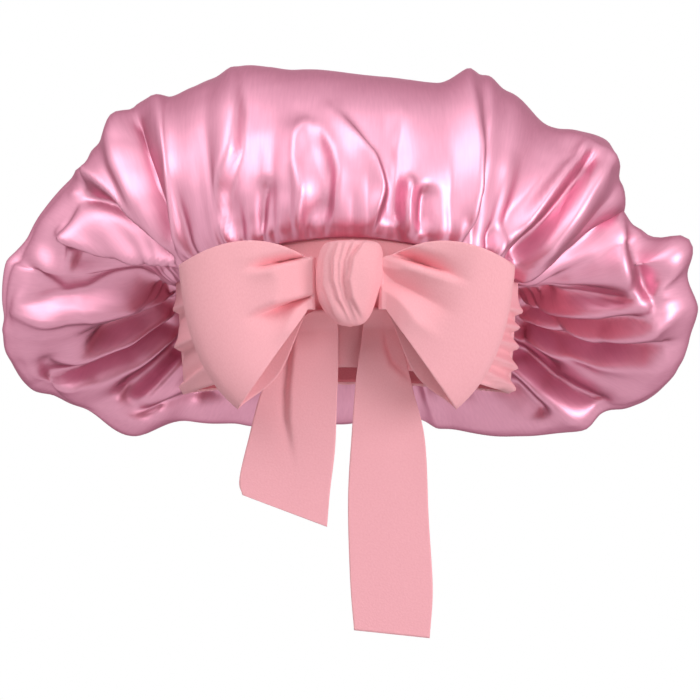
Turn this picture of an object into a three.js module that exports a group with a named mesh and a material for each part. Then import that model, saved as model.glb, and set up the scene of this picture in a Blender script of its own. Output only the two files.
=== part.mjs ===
// Satin hair bonnet: a full, gathered satin crown on a head band whose ties make a bow at the front.
// Millimetres, +Z up, the wearer faces -Y. The origin is the middle of the head opening.
import * as THREE from "three";
import { mergeVertices } from "three/addons/utils/BufferGeometryUtils.js";

// Cloth, thread and elastic thicknesses, and the gap between pieces that lie against each other
const SATIN = 1.2;
const LINING = 0.9;
const CREPE = 0.9;
const BINDING = 0.8;
const THREAD = 0.8;
const ELASTIC = 1.2;
const CLEARANCE = 0.3;

// Head ring, an oval seen from above
const RING_HALF_WIDTH = 88;
const RING_HALF_DEPTH = 97;

// Height of the band's sewn upper edge and of its free lower edge, round the head
const SEAM_FRONT = 69.8;
const SEAM_SIDE = 47;
const SEAM_BACK = 24;
const RIM_FRONT = 4.5;
const RIM_SIDE = -9.5;
const RIM_BACK = -5.5;

// The wide front band and the narrow ruched casing behind it meet at two side seams
const FRONT_ARC_DEG = 80;
const RUCHE_DEPTH = 1.6;
const RUCHE_COUNT = 26;
const ELASTIC_WIDTH = 20;
const TACK_LENGTH = 3;
const FACING_INSET = 1.2;
const BINDING_WIDTH = 10;

// Crown: it leaves the seam outwards, turns back at its widest outline and closes at a point behind the head
const GATHER_OUT_FRONT = 5;
const GATHER_OUT_SIDE = 10;
const GATHER_OUT_BACK = 12;
const GATHER_RISE_FRONT = 7;
const GATHER_RISE_SIDE = 2;
const GATHER_RISE_BACK = -2;
const CROWN_HALF_WIDTH = 178;
const CROWN_TOP_Z = 155;
const CROWN_BOTTOM_Z = -28;
const WIDEST_Z = 38;
const WIDEST_Y_FRONT = 15;
const WIDEST_Y_SIDE = 30;
const WIDEST_Y_BACK = 128;
const BACK_POINT_Y = 180;
const BACK_POINT_Z = 72;
const TOP_SQUARENESS = 2.2;
const BOTTOM_SQUARENESS = 3.5;
const TURN_SQUARENESS = 2.2;
const FACE_BULGE = 9;

// Lobes of the crown's outline as turns from the top in degrees, each with how far it rises there
const LOBES = [
  [-180, -1], [-170, -3], [-162, 3], [-153, 4], [-145, 12], [-136, 2], [-125, 7], [-112, 5], [-102, 4],
  [-94, 1], [-80, 1], [-72, -5], [-60, -9], [-46, -8], [-36, 4], [-30, -5], [-22, 3], [-17, 8], [-8, 2],
  [6, -2], [15, -3], [23, 9], [27, 4], [36, -6], [47, 1], [64, -17], [70, -8], [80, 1], [92, 7],
  [106, 6], [116, 2], [123, 2], [131, 5], [141, 9], [152, 8], [164, 4], [168, -2], [180, -1],
];
// Folds fan out: how far, in degrees, one that starts on the band leans towards the front before the outline
const FAN_DIAGONAL = 12;
const FAN_SIDE = 10;
// Main creases and ridges of the crown's front, from the band outwards as they look from the front: height, width
// to the left and to the right, and points as sideways and upward places
const FRONT_FOLDS = [
  [-16, 9, 16, [
    [-60, 72], [-62, 84], [-61, 94], [-57, 111], [-53, 126], [-53, 140], [-54, 151], [-60, 186],
  ]],
  [-11, 9, 9, [[-88, 59], [-100, 91], [-108, 118], [-111, 134], [-113, 145]]],
  [-15, 9, 9, [[-91, 63], [-103, 74], [-121, 89], [-132, 99], [-142, 109], [-147, 115]]],
  [-11, 9, 10, [[-95, 55], [-110, 54], [-128, 56], [-143, 64], [-155, 78], [-162, 86]]],
  [-15, 9, 12, [[-94, 49], [-118, 43], [-134, 39], [-159, 35], [-179, 37]]],
  [-11, 9, 10, [[-93, 24], [-110, 11], [-131, 0], [-156, -7], [-168, -10]]],
  [-13, 10, 10, [[-17, 75], [-11, 85], [-13, 105], [-17, 119], [-20, 135]]],
  [-11, 9, 12, [[14, 71], [17, 81], [23, 97], [22, 104], [17, 117], [6, 129], [-9, 144]]],
  [-15, 9, 16, [[62, 71], [68, 81], [73, 97], [74, 119], [72, 135], [69, 156], [66, 180]]],
  [-15, 9, 9, [[90, 56], [106, 76], [118, 94], [132, 116], [151, 144]]],
  [-12, 11, 16, [[156, 39], [151, 51], [147, 66], [146, 84], [143, 94], [136, 118], [130, 149]]],
  [-13, 9, 9, [[89, 41], [111, 33], [136, 32], [152, 38]]],
  [-11, 9, 9, [[96, 28], [120, 24], [155, 30], [180, 37], [205, 42]]],
  [-11, 9, 9, [[88, 1], [105, -12], [130, -24], [153, -34]]],
  [8, 18, 9, [
    [-62, 72], [-65, 84], [-64, 94], [-60, 111], [-56, 126], [-56, 140], [-57, 151], [-64, 186],
  ]],
  [7, 10, 9, [[-92, 59], [-108, 71], [-127, 85], [-138, 101], [-147, 107], [-153, 112]]],
  [7, 9, 9, [[-95, 53], [-110, 52], [-128, 53], [-143, 61], [-156, 76], [-164, 84]]],
  [10, 18, 9, [[-94, 46], [-118, 41], [-134, 35], [-159, 32], [-179, 33]]],
  [7, 14, 9, [[-93, 21], [-110, 8], [-131, -3], [-156, -9], [-168, -13]]],
  [8, 14, 9, [[60, 71], [66, 81], [70, 97], [72, 119], [69, 135], [66, 159], [62, 180]]],
  [6, 14, 12, [[153, 41], [148, 51], [144, 66], [143, 84], [140, 94], [132, 122], [126, 149]]],
  [7, 9, 9, [[156, 37], [165, 51], [176, 69], [185, 86]]],
  [7, 9, 10, [[93, 28], [125, 18], [149, 22], [168, 33], [186, 41], [211, 48]]],
];
const DEEPEST_FOLD = -18;
const HIGHEST_FOLD = 12;
const FOLD_EVENING = 0.7;
const OUTLINE_CALM = 0.35;
const FOLD_END = 0.92;
const LINING_SLACK = 4.5;

// Knot of the bow, and the first crossing of the ties behind it, risen above the middle of the front band
const CROSSING_HALF_WIDTH = 20;
const CROSSING_DEPTH = 8.6;
const CROSSING_HALF_HEIGHT = 17;
const CROSSING_RISE = 7;
const KNOT_HALF_WIDTH = 16.3;
const KNOT_DEPTH = 29;
const KNOT_HALF_HEIGHT = 22;
const KNOT_RISE = 9;
const KNOT_TAPER = 0.18;
const KNOT_WRAP_DEPTH = 0.7;
const KNOT_WRAP_PITCH = 9;
const KNOT_WRAP_SLOPE = 0.45;

// Bow loops: a rolled inner end beside the knot, fanning out to a folded outer end. Reaches are measured
// from the roll and drops from the middle of the knot.
const LOOP_ROLL = 3.2;
const LOOP_HALF_DEPTH = 11;
const LOOP_INNER_DROP = 13;
const LOOP_INNER_RISE = 13;
const LOOP_CORNER_REACH = 34;
const LOOP_CORNER_DROP = 62;
const LOOP_BELLY_REACH = 60;
const LOOP_BELLY_DROP = 41;
const LOOP_SHOULDER_REACH = 63;
const LOOP_SHOULDER_RISE = 9;
const LOOP_ARCH = 10;

// Bow tails: hung by a narrow neck under the crossing
const NECK_RADIUS = 6;
const LEFT_NECK_X = -9.5;
const RIGHT_NECK_X = 13;
const TAIL_FOLD = 2.2;
// Edge points of each tail, sideways and downward from its neck
const LEFT_TAIL_OUTER = [[-21.5, -9], [-33, -29], [-40, -54], [-44.5, -74], [-43, -82]];
const LEFT_TAIL_INNER = [[5, -20], [4.5, -34], [3.5, -59], [1, -80], [-0.5, -98]];
const LEFT_TAIL_CREASE = [0.3, 0.55];
const RIGHT_TAIL_INNER = [[-8.5, -25], [-10.5, -50], [-12.5, -85], [-11.5, -125], [-9.5, -151]];
const RIGHT_TAIL_OUTER = [[19.5, -28], [26, -55], [28, -95], [30, -130], [28.5, -155]];
const RIGHT_TAIL_CREASE = [0.75, 0.8];

// Facets, and the shares of the crown's rows that go to the gathers and to its face
const CROWN_AROUND = 84;
const CROWN_ROWS = 16;
const GATHER_SHARE = 1 / CROWN_ROWS;
const FACE_SHARE = 9 / CROWN_ROWS;
const FRONT_STEPS = 32;
const BACK_STEPS = 104;
const PLAIN_STEPS = 40;
const RING_STEPS = 60;
const THREAD_SIDES = 5;
const KNOT_AROUND = 24;
const KNOT_ROWS = 16;
const LOOP_ACROSS = 8;
const LOOP_PATH = 26;
const TAIL_ACROSS = 8;
const TAIL_ROWS = 10;

const radians = THREE.MathUtils.degToRad;
const lerp = THREE.MathUtils.lerp;
const clamp = THREE.MathUtils.clamp;
const smoothstep = THREE.MathUtils.smoothstep;
const range = (count) => Array.from({ length: count }, (_, i) => i);
const steps = (count) => range(count + 1).map((i) => i / count);

// Joins a run of sections, each a ring of as many points, into one closed body. A run that isn't
// closed gets end faces, each laced from one half of the section to the other.
function loft(sections, closed = false) {
  const across = sections[0].length;
  const position = sections.flat().flatMap((p) => [p.x, p.y, p.z]);
  const at = (row, k) => (row % sections.length) * across + (k % across);
  const triangles = [];
  const quad = (a, b, c, d) => triangles.push([a, b, c], [a, c, d]);
  range(closed ? sections.length : sections.length - 1).forEach((row) =>
    range(across).forEach((k) => quad(at(row, k), at(row, k + 1), at(row + 1, k + 1), at(row + 1, k))),
  );
  if (!closed) {
    const last = sections.length - 1;
    range(Math.floor(across / 2) - 1).forEach((k) => {
      quad(at(0, k), at(0, across - 1 - k), at(0, across - 2 - k), at(0, k + 1));
      quad(at(last, k), at(last, k + 1), at(last, across - 2 - k), at(last, across - 1 - k));
    });
  }
  const raw = new THREE.BufferGeometry();
  raw.setAttribute("position", new THREE.Float32BufferAttribute(position, 3));
  raw.setIndex(triangles.flat());
  return facingOut(mergeVertices(raw, 1e-3));
}

// Drops triangles that closed up at a pole, and turns the faces outwards.
function facingOut(geometry) {
  const corner = (i) => new THREE.Vector3().fromBufferAttribute(geometry.attributes.position, i);
  const index = [...geometry.index.array];
  const kept = range(index.length / 3)
    .map((i) => index.slice(3 * i, 3 * i + 3))
    .filter(([a, b, c]) => a !== b && b !== c && c !== a);
  const volume = kept.reduce((sum, [a, b, c]) => sum + corner(a).dot(corner(b).cross(corner(c))), 0);
  geometry.setIndex((volume < 0 ? kept.map(([a, b, c]) => [a, c, b]) : kept).flat());
  geometry.computeVertexNormals();
  return geometry;
}

// A value that changes smoothly from the front of the head over the sides to the back.
function roundHead(phi, front, side, back) {
  const c = Math.cos(phi);
  return side + (c > 0 ? front - side : back - side) * c * c;
}

// A point beside the head ring: phi turns from the front, out is measured away from the ring.
const onRing = (phi, out, z) =>
  new THREE.Vector3((RING_HALF_WIDTH + out) * Math.sin(phi), -(RING_HALF_DEPTH + out) * Math.cos(phi), z);
const seamHeight = (phi) => roundHead(phi, SEAM_FRONT, SEAM_SIDE, SEAM_BACK);
const rimHeight = (phi) => roundHead(phi, RIM_FRONT, RIM_SIDE, RIM_BACK);

// Crown

const crownFoot = (phi) => seamHeight(phi) + 2 * CLEARANCE + THREAD;
const backPoint = new THREE.Vector3(0, BACK_POINT_Y, BACK_POINT_Z);

// A quarter of a rounded square: how far along its first side and along its second at one share of the turn.
const quarterTurn = (share, squareness) => [
  Math.sin((share * Math.PI) / 2) ** (2 / squareness),
  1 - Math.cos((share * Math.PI) / 2) ** (2 / squareness),
];

// The turn at which a fold that starts at phi on the band meets the outline.
const fanned = (phi) =>
  phi - radians(FAN_DIAGONAL) * Math.sin(2 * phi) - radians(FAN_SIDE) * Math.sin(phi);

// The widest outline of the crown, a rounded oval seen from the front, squarer below.
function widest(phi) {
  const [s, c] = [Math.sin(fanned(phi)), Math.cos(fanned(phi))];
  const power = c > 0 ? TOP_SQUARENESS : BOTTOM_SQUARENESS;
  const size = (Math.abs(s) ** power + Math.abs(c) ** power) ** (1 / power);
  const height = c > 0 ? CROWN_TOP_Z - WIDEST_Z : WIDEST_Z - CROWN_BOTTOM_Z;
  return new THREE.Vector3(
    (CROWN_HALF_WIDTH * s) / size,
    roundHead(phi, WIDEST_Y_FRONT, WIDEST_Y_SIDE, WIDEST_Y_BACK),
    WIDEST_Z + (height * c) / size,
  );
}

// The crown without its folds, from the seam at t = 0 over the gathers and the widest outline to the
// back point at t = 1.
function plainCrown(phi, t) {
  const seam = onRing(phi, 0, crownFoot(phi));
  const gather = onRing(
    phi,
    roundHead(phi, GATHER_OUT_FRONT, GATHER_OUT_SIDE, GATHER_OUT_BACK),
    crownFoot(phi) + roundHead(phi, GATHER_RISE_FRONT, GATHER_RISE_SIDE, GATHER_RISE_BACK),
  );
  if (t < GATHER_SHARE) return seam.lerp(gather, t / GATHER_SHARE);
  if (t < FACE_SHARE) {
    const [out, back] = quarterTurn((t - GATHER_SHARE) / (FACE_SHARE - GATHER_SHARE), TURN_SQUARENESS);
    const span = widest(phi).sub(gather);
    return gather.add(new THREE.Vector3(span.x * out, span.y * back, span.z * out));
  }
  const [back, inward] = quarterTurn((t - FACE_SHARE) / (1 - FACE_SHARE), TURN_SQUARENESS);
  const span = backPoint.clone().sub(widest(phi));
  return widest(phi).add(new THREE.Vector3(span.x * inward, span.y * back, span.z * inward));
}

// A point of the crown lifted by lift along the outward normal of its plain shape.
function crownPoint(phi, t, lift) {
  const nudge = 1e-3;
  if (t === 1) return backPoint.clone().add(new THREE.Vector3(0, lift, 0));
  const along = plainCrown(phi, t + nudge).sub(plainCrown(phi, Math.max(0, t - nudge)));
  const round = plainCrown(phi + nudge, t).sub(plainCrown(phi - nudge, t));
  return plainCrown(phi, t).addScaledVector(round.cross(along).normalize(), lift);
}

// The rise of the outline's lobes at one turn, eased from each listed turn to the next.
function lobeRise(phi) {
  const turn = THREE.MathUtils.euclideanModulo(THREE.MathUtils.radToDeg(fanned(phi)) + 180, 360) - 180;
  const next = LOBES.findIndex(([deg]) => deg > turn);
  const [[from, low], [to, high]] = [LOBES[next - 1], LOBES[next]];
  return lerp(low, high, smoothstep(turn, from, to));
}

// The lobes start flat at the seam and fade before the back point; the face of the crown also bulges.
const foldShare = (t) => clamp((t - GATHER_SHARE) / (FOLD_END - GATHER_SHARE), 0, 1);
const swell = (t) => Math.sin(Math.PI * foldShare(t)) ** 0.8;
const bulge = (t) => FACE_BULGE * Math.sin(Math.PI * Math.min(1, t / FACE_SHARE));

// How far one fold lifts a place on the crown's front: height exp(-distance / width), fading at its outer end.
function foldLift(place, [height, left, right, marks]) {
  const spans = range(marks.length - 1).map((k) => {
    const [x, z] = marks[k];
    const [dx, dz] = [marks[k + 1][0] - x, marks[k + 1][1] - z];
    const share = clamp(((place.x - x) * dx + (place.z - z) * dz) / (dx * dx + dz * dz), 0, 1);
    const away = Math.hypot(place.x - x - share * dx, place.z - z - share * dz);
    const onLeft = dx * (place.z - z) - dz * (place.x - x) > 0;
    return { away, width: onLeft ? left : right, share: (k + share) / (marks.length - 1) };
  });
  const near = spans.reduce((best, span) => (span.away < best.away ? span : best));
  return height * Math.exp(-near.away / near.width) * (1 - smoothstep(near.share, 0.55, 1));
}

// The front's folds grow out of the seam, are calmer at the outline and don't go on to the back.
function frontShare(t) {
  const face = (t - GATHER_SHARE) / (FACE_SHARE - GATHER_SHARE);
  const calm = 1 - OUTLINE_CALM * Math.exp(-(((face - 1) / 0.25) ** 2));
  return clamp(t / 0.2, 0, 1) * calm * (1 - smoothstep(t, FACE_SHARE - 0.03, FACE_SHARE + 0.08));
}

// How far one ring of the crown stands out at each turn. What the creases take in, the cloth between them gives out.
function ringLift(t) {
  const rise = crownTurns.map((phi) => bulge(t) + lobeRise(phi) * swell(t));
  const folds = crownTurns.map((phi, i) => {
    const place = crownPoint(phi, t, rise[i]);
    const lift = FRONT_FOLDS.reduce((sum, fold) => sum + foldLift(place, fold), 0);
    return frontShare(t) * clamp(lift, DEEPEST_FOLD, HIGHEST_FOLD);
  });
  const mean = folds.reduce((sum, lift) => sum + lift, 0) / CROWN_AROUND;
  return rise.map((lift, i) => lift + folds[i] - FOLD_EVENING * mean);
}

// A bag of cloth between two sets of rings, at a depth under the crown's outer face.
function bag(thickness, depth) {
  const rings = steps(CROWN_ROWS).map((t) => ({ t, lifts: ringLift(t) }));
  const layer = (inner) =>
    rings.map(({ t, lifts }) => crownTurns.map((phi, i) => crownPoint(phi, t, lifts[i] - depth(t) - inner)));
  return loft([...layer(thickness).reverse(), ...layer(0)]);
}

// The lining hangs inside the folds of the outer cloth, and draws up to it only at the seam.
const crownTurns = range(CROWN_AROUND).map((i) => (2 * Math.PI * i) / CROWN_AROUND);
const liningDepth = (t) => SATIN + CLEARANCE + LINING_SLACK * Math.min(1, t / GATHER_SHARE);
const crownOuter = bag(SATIN, () => 0);
const crownLining = bag(LINING, liningDepth);

// Band

// A strip round the head from one turn to another; section gives its corners at each turn.
function strip(from, to, count, section) {
  const closed = to - from >= 2 * Math.PI;
  const turns = steps(count).map((s) => lerp(from, to, s));
  return loft((closed ? turns.slice(0, -1) : turns).map(section), closed);
}

// The corners of a strip that stands on edge, from out to in and from low to high.
const standing = (phi, out, thickness, low, high) => [
  onRing(phi, out, low),
  onRing(phi, out, high),
  onRing(phi, out - thickness, high),
  onRing(phi, out - thickness, low),
];

const sideSeam = radians(FRONT_ARC_DEG);
const halfGap = CLEARANCE / 2 / RING_HALF_WIDTH;
const frontSpan = [-sideSeam + halfGap, sideSeam - halfGap];
const backSpan = [sideSeam + halfGap, 2 * Math.PI - sideSeam - halfGap];
const frontFacingOut = -(CREPE + CLEARANCE);
const elasticOut = -(CREPE + CLEARANCE);
const backFacingOut = elasticOut - ELASTIC - CLEARANCE;
const bindingOut = backFacingOut - CREPE - CLEARANCE;

const frontBandOuter = strip(...frontSpan, FRONT_STEPS, (phi) =>
  standing(phi, 0, CREPE, rimHeight(phi), seamHeight(phi)),
);
const frontBandFacing = strip(...frontSpan, FRONT_STEPS, (phi) =>
  standing(phi, frontFacingOut, CREPE, rimHeight(phi) + FACING_INSET, seamHeight(phi) - FACING_INSET),
);
const rucheShare = (phi) => (phi - backSpan[0]) / (backSpan[1] - backSpan[0]);
const ruche = (phi) => (RUCHE_DEPTH / 2) * (1 - Math.cos(RUCHE_COUNT * 2 * Math.PI * rucheShare(phi)));
const backCasingOuter = strip(...backSpan, BACK_STEPS, (phi) =>
  standing(phi, ruche(phi), CREPE, rimHeight(phi), seamHeight(phi)),
);
const backCasingFacing = strip(...backSpan, PLAIN_STEPS, (phi) =>
  standing(phi, backFacingOut, CREPE, rimHeight(phi) + FACING_INSET, seamHeight(phi) - FACING_INSET),
);

// The elastic runs inside the casing between two bar tacks that hold its ends.
const tackAngle = TACK_LENGTH / RING_HALF_DEPTH;
const gapAngle = (2 * CLEARANCE) / RING_HALF_DEPTH;
const inCasing = (phi) => {
  const middle = (rimHeight(phi) + seamHeight(phi)) / 2;
  return standing(phi, elasticOut, ELASTIC, middle - ELASTIC_WIDTH / 2, middle + ELASTIC_WIDTH / 2);
};
const elasticSpan = [backSpan[0] + tackAngle + 2 * gapAngle, backSpan[1] - tackAngle - 2 * gapAngle];
const bandElastic = strip(...elasticSpan, PLAIN_STEPS, inCasing);
const elasticTack = (from) => strip(from, from + tackAngle, 2, inCasing);

const seamBinding = strip(0, 2 * Math.PI, RING_STEPS, (phi) => {
  const [low, high] = [-BINDING_WIDTH / 2, BINDING_WIDTH / 2].map((rise) => seamHeight(phi) + rise);
  return standing(phi, bindingOut, BINDING, low, high);
});

// The seam thread lies on the band's upper edge, under the gathered edge of the crown.
const gatheringThread = strip(0, 2 * Math.PI, RING_STEPS, (phi) =>
  range(THREAD_SIDES).map((k) => {
    const turn = (2 * Math.PI * k) / THREAD_SIDES;
    const height = seamHeight(phi) + CLEARANCE + THREAD / 2;
    return onRing(phi, -CREPE / 2 + (THREAD / 2) * Math.cos(turn), height + (THREAD / 2) * Math.sin(turn));
  }),
);

// Bow

// The ties cross against the band; the knot stands on that crossing and the tails hang under it.
const crossingY = -(RING_HALF_DEPTH + CLEARANCE + CROSSING_DEPTH / 2);
const crossingFront = crossingY - CROSSING_DEPTH / 2;
const knotY = crossingFront - CLEARANCE - KNOT_DEPTH / 2;
const loopY = Math.min(knotY, crossingFront - 2 * CLEARANCE - LOOP_HALF_DEPTH);
const loopHinge = KNOT_HALF_WIDTH + CLEARANCE + LOOP_ROLL;
const bandMiddle = (SEAM_FRONT + RIM_FRONT) / 2;
const crossingZ = bandMiddle + CROSSING_RISE;
const knotZ = bandMiddle + KNOT_RISE;

const tieCrossing = new THREE.SphereGeometry(1, 20, 12);
tieCrossing.scale(CROSSING_HALF_WIDTH, CROSSING_DEPTH / 2, CROSSING_HALF_HEIGHT);

// Wrapped cloth: an egg, wider above, with slanting grooves between its turns.
function knotPoint(turn, height) {
  const egg = (h) => Math.sqrt(1 - h * h) * (1 + KNOT_TAPER * h);
  const girth = egg(height) / egg(KNOT_TAPER);
  const x = KNOT_HALF_WIDTH * girth * Math.cos(turn);
  const z = KNOT_HALF_HEIGHT * height;
  const groove = Math.cos((2 * Math.PI * (x + KNOT_WRAP_SLOPE * z)) / KNOT_WRAP_PITCH);
  const front = Math.max(0, -Math.sin(turn));
  const y = (KNOT_DEPTH / 2) * girth * Math.sin(turn) + KNOT_WRAP_DEPTH * girth * front * (1 + groove) / 2;
  return new THREE.Vector3(x, y, z);
}
const bowKnot = loft(
  steps(KNOT_ROWS).map((s) => {
    const height = -Math.cos(Math.PI * s);
    return range(KNOT_AROUND).map((k) => knotPoint((2 * Math.PI * k) / KNOT_AROUND, height));
  }),
);

// A loop is a ring of ribbon: seen from above it runs from the roll by the knot out to the fold and back.
// inset shrinks it to the inner face; across runs from the ribbon's lower edge to its upper edge.
function loopPath(inset, across) {
  const inner = new THREE.Vector2(loopHinge, lerp(-LOOP_INNER_DROP, LOOP_INNER_RISE, across));
  const fold = new THREE.QuadraticBezierCurve(
    new THREE.Vector2(loopHinge + LOOP_CORNER_REACH, -LOOP_CORNER_DROP),
    new THREE.Vector2(loopHinge + LOOP_BELLY_REACH, -LOOP_BELLY_DROP),
    new THREE.Vector2(loopHinge + LOOP_SHOULDER_REACH, LOOP_SHOULDER_RISE),
  ).getPoint(across);
  const reach = fold.distanceTo(inner) - inset;
  const roll = LOOP_ROLL - inset;
  const half = LOOP_HALF_DEPTH - inset;
  const nearSide = [[-0.71 * roll, 0.71 * roll], [0, roll], [0.35 * reach, 0.72 * half], [0.7 * reach, half],
    [0.94 * reach, 0.66 * half]];
  const outline = new THREE.CatmullRomCurve3(
    [[-roll, 0], ...nearSide, [reach, 0], ...nearSide.map(([d, y]) => [d, -y]).reverse()].map(
      ([d, y]) => new THREE.Vector3(d, y, 0),
    ),
    true,
  );
  const toFold = fold.clone().sub(inner).normalize();
  return range(LOOP_PATH).map((k) => {
    const p = outline.getPoint(k / LOOP_PATH);
    const share = Math.max(0, p.x) / reach;
    const arch = 4 * LOOP_ARCH * share * (1 - share) * across * across;
    const side = p.x > 0 ? toFold : new THREE.Vector2(1, 0);
    return new THREE.Vector3(inner.x + side.x * p.x, p.y, inner.y + side.y * p.x + arch);
  });
}

// The loop on one side, -1 left or 1 right.
function bowLoop(side) {
  const faces = [0, CREPE].map((inset) => steps(LOOP_ACROSS).map((across) => loopPath(inset, across)));
  const sections = range(LOOP_PATH).map((k) =>
    [...faces[0].map((path) => path[k]), ...faces[1].map((path) => path[k]).reverse()].map(
      (p) => new THREE.Vector3(side * p.x, p.y, p.z),
    ),
  );
  return loft(sections, true);
}

// A tail's neck is round about its hinge, as high as the rounded underside of the crossing lets it hang.
function neckHeight(x) {
  const share = x / CROSSING_HALF_WIDTH;
  const fall = Math.sqrt(1 - share * share);
  const slope = ((CROSSING_HALF_HEIGHT / CROSSING_HALF_WIDTH) * share) / fall;
  return crossingZ - CROSSING_HALF_HEIGHT * fall - (NECK_RADIUS + CLEARANCE) * Math.hypot(1, slope);
}

// A hanging ribbon between two edges, with one crease that fades towards its end.
function bowTail(leftEdge, rightEdge, crease) {
  const neck = [30, 60].map((deg) => {
    const half = NECK_RADIUS * Math.sin(radians(deg));
    const height = NECK_RADIUS * Math.cos(radians(deg));
    return [new THREE.Vector2(-half, height), new THREE.Vector2(half, height)];
  });
  const edge = (side, points) =>
    new THREE.SplineCurve([[side * NECK_RADIUS, 0], ...points].map((p) => new THREE.Vector2(...p)));
  const left = edge(-1, leftEdge);
  const right = edge(1, rightEdge);
  const rows = [...neck, ...steps(TAIL_ROWS).map((s) => [left.getPoint(s), right.getPoint(s)])];
  return loft(
    rows.map(([a, b], row) => {
      const down = Math.max(0, row - neck.length) / TAIL_ROWS;
      const depth = TAIL_FOLD * Math.sin(Math.PI * (0.15 + 0.85 * down)) * (row < neck.length ? 0.4 : 1);
      const middle = lerp(...crease, down);
      const front = steps(TAIL_ACROSS).map((w) => {
        const p = a.clone().lerp(b, w);
        const fold = depth * Math.cos(Math.PI * Math.min(1, Math.abs(w - middle) / 0.4));
        return new THREE.Vector3(p.x, fold - CREPE / 2, p.y);
      });
      const behind = front.map((p) => p.clone().setY(p.y + CREPE)).reverse();
      return [...front, ...behind];
    }),
  );
}

// Assembly

const satin = new THREE.MeshStandardMaterial({ color: "#d79bb2", roughness: 0.28, metalness: 0 });
const satinInside = new THREE.MeshStandardMaterial({ color: "#cf93aa", roughness: 0.35, metalness: 0 });
const crepe = new THREE.MeshStandardMaterial({ color: "#f7adb8", roughness: 0.85, metalness: 0 });
const webbing = new THREE.MeshStandardMaterial({ color: "#f4efec", roughness: 0.9, metalness: 0 });
const tape = new THREE.MeshStandardMaterial({ color: "#d993a6", roughness: 0.7, metalness: 0 });
const sewingThread = new THREE.MeshStandardMaterial({ color: "#c8758c", roughness: 0.6, metalness: 0 });

const piece = (name, geometry, material, x = 0, y = 0, z = 0) => {
  const mesh = new THREE.Mesh(geometry, material);
  mesh.name = name;
  mesh.position.set(x, y, z);
  return mesh;
};

const crown = new THREE.Group().add(
  piece("crown_outer", crownOuter, satin),
  piece("crown_lining", crownLining, satinInside),
  piece("crown_seam_binding", seamBinding, tape),
  piece("crown_gathering_thread", gatheringThread, sewingThread),
);
const band = new THREE.Group().add(
  piece("front_band_outer", frontBandOuter, crepe),
  piece("front_band_facing", frontBandFacing, crepe),
  piece("back_casing_outer", backCasingOuter, crepe),
  piece("back_casing_facing", backCasingFacing, crepe),
  piece("band_elastic", bandElastic, webbing),
  piece("elastic_tack_right", elasticTack(backSpan[0] + gapAngle), sewingThread),
  piece("elastic_tack_left", elasticTack(backSpan[1] - tackAngle - gapAngle), sewingThread),
);
const leftTail = bowTail(LEFT_TAIL_OUTER, LEFT_TAIL_INNER, LEFT_TAIL_CREASE);
const rightTail = bowTail(RIGHT_TAIL_INNER, RIGHT_TAIL_OUTER, RIGHT_TAIL_CREASE);
const bow = new THREE.Group().add(
  piece("tie_crossing", tieCrossing, crepe, 0, crossingY, crossingZ),
  piece("bow_knot", bowKnot, crepe, 0, knotY, knotZ),
  piece("bow_left_loop", bowLoop(-1), crepe, 0, loopY, knotZ),
  piece("bow_right_loop", bowLoop(1), crepe, 0, loopY, knotZ),
  piece("bow_left_tail", leftTail, crepe, LEFT_NECK_X, crossingY, neckHeight(LEFT_NECK_X)),
  piece("bow_right_tail", rightTail, crepe, RIGHT_NECK_X, crossingY, neckHeight(RIGHT_NECK_X)),
);

export default new THREE.Group().add(crown, band, bow);
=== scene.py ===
import bpy
import numpy as np
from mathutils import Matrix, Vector


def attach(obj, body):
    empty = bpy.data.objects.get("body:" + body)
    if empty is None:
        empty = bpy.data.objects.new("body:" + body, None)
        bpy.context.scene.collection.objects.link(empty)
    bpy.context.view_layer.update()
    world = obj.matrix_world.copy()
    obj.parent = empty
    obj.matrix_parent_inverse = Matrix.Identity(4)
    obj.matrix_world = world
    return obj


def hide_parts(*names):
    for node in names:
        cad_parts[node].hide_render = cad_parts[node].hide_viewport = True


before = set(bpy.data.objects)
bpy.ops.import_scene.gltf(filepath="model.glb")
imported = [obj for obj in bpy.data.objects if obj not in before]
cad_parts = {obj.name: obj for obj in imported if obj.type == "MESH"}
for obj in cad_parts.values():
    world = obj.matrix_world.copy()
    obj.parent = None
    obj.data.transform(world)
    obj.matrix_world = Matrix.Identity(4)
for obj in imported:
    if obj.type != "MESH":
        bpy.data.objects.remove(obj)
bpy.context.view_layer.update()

# The camera stands level and far off, as for a catalogue picture, so the bonnet shows almost without
# perspective. It is a little right of the middle and just above the head opening.
CAMERA_PLACE = (0.0015, -2.5, 0.013)
CAMERA_LENS, SENSOR_WIDTH, FAR_CLIP = 245.9, 36, 30
camera_data = bpy.data.cameras.new("camera")
camera_data.lens = CAMERA_LENS
camera_data.sensor_width = SENSOR_WIDTH
camera_data.clip_end = FAR_CLIP
camera = bpy.data.objects.new("camera", camera_data)
camera.location = CAMERA_PLACE
camera.rotation_euler = (np.pi / 2, 0, 0)
bpy.context.collection.objects.link(camera)
bpy.context.scene.camera = camera
bpy.context.scene.view_settings.view_transform = "Standard"

# The crown is one large round of mauve pink satin. Its edge is gathered on a thread to about a third of its
# length and sewn into the band, so pleats start at the seam, run together and fade as the bag fills out.
# Lengths are in mm. A turn round the head is 0 at the forehead and positive to the right.
MM = 0.001
RING_WIDTH, RING_DEPTH = 88, 97
SEAM_HEIGHTS = (71.2, 48.4, 25.4)
CROWN_HALF_WIDTH, CROWN_TOP, CROWN_BOTTOM = 178, 155, -28
WIDEST_HEIGHT = 38
WIDEST_BACK = (15, 30, 128)
BACK_POINT = np.array([0, 180, 72])
GATHER_OUT, GATHER_RISE, SEAM_LAP = (5, 10, 12), (7, 2, -2), 1.8
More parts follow.
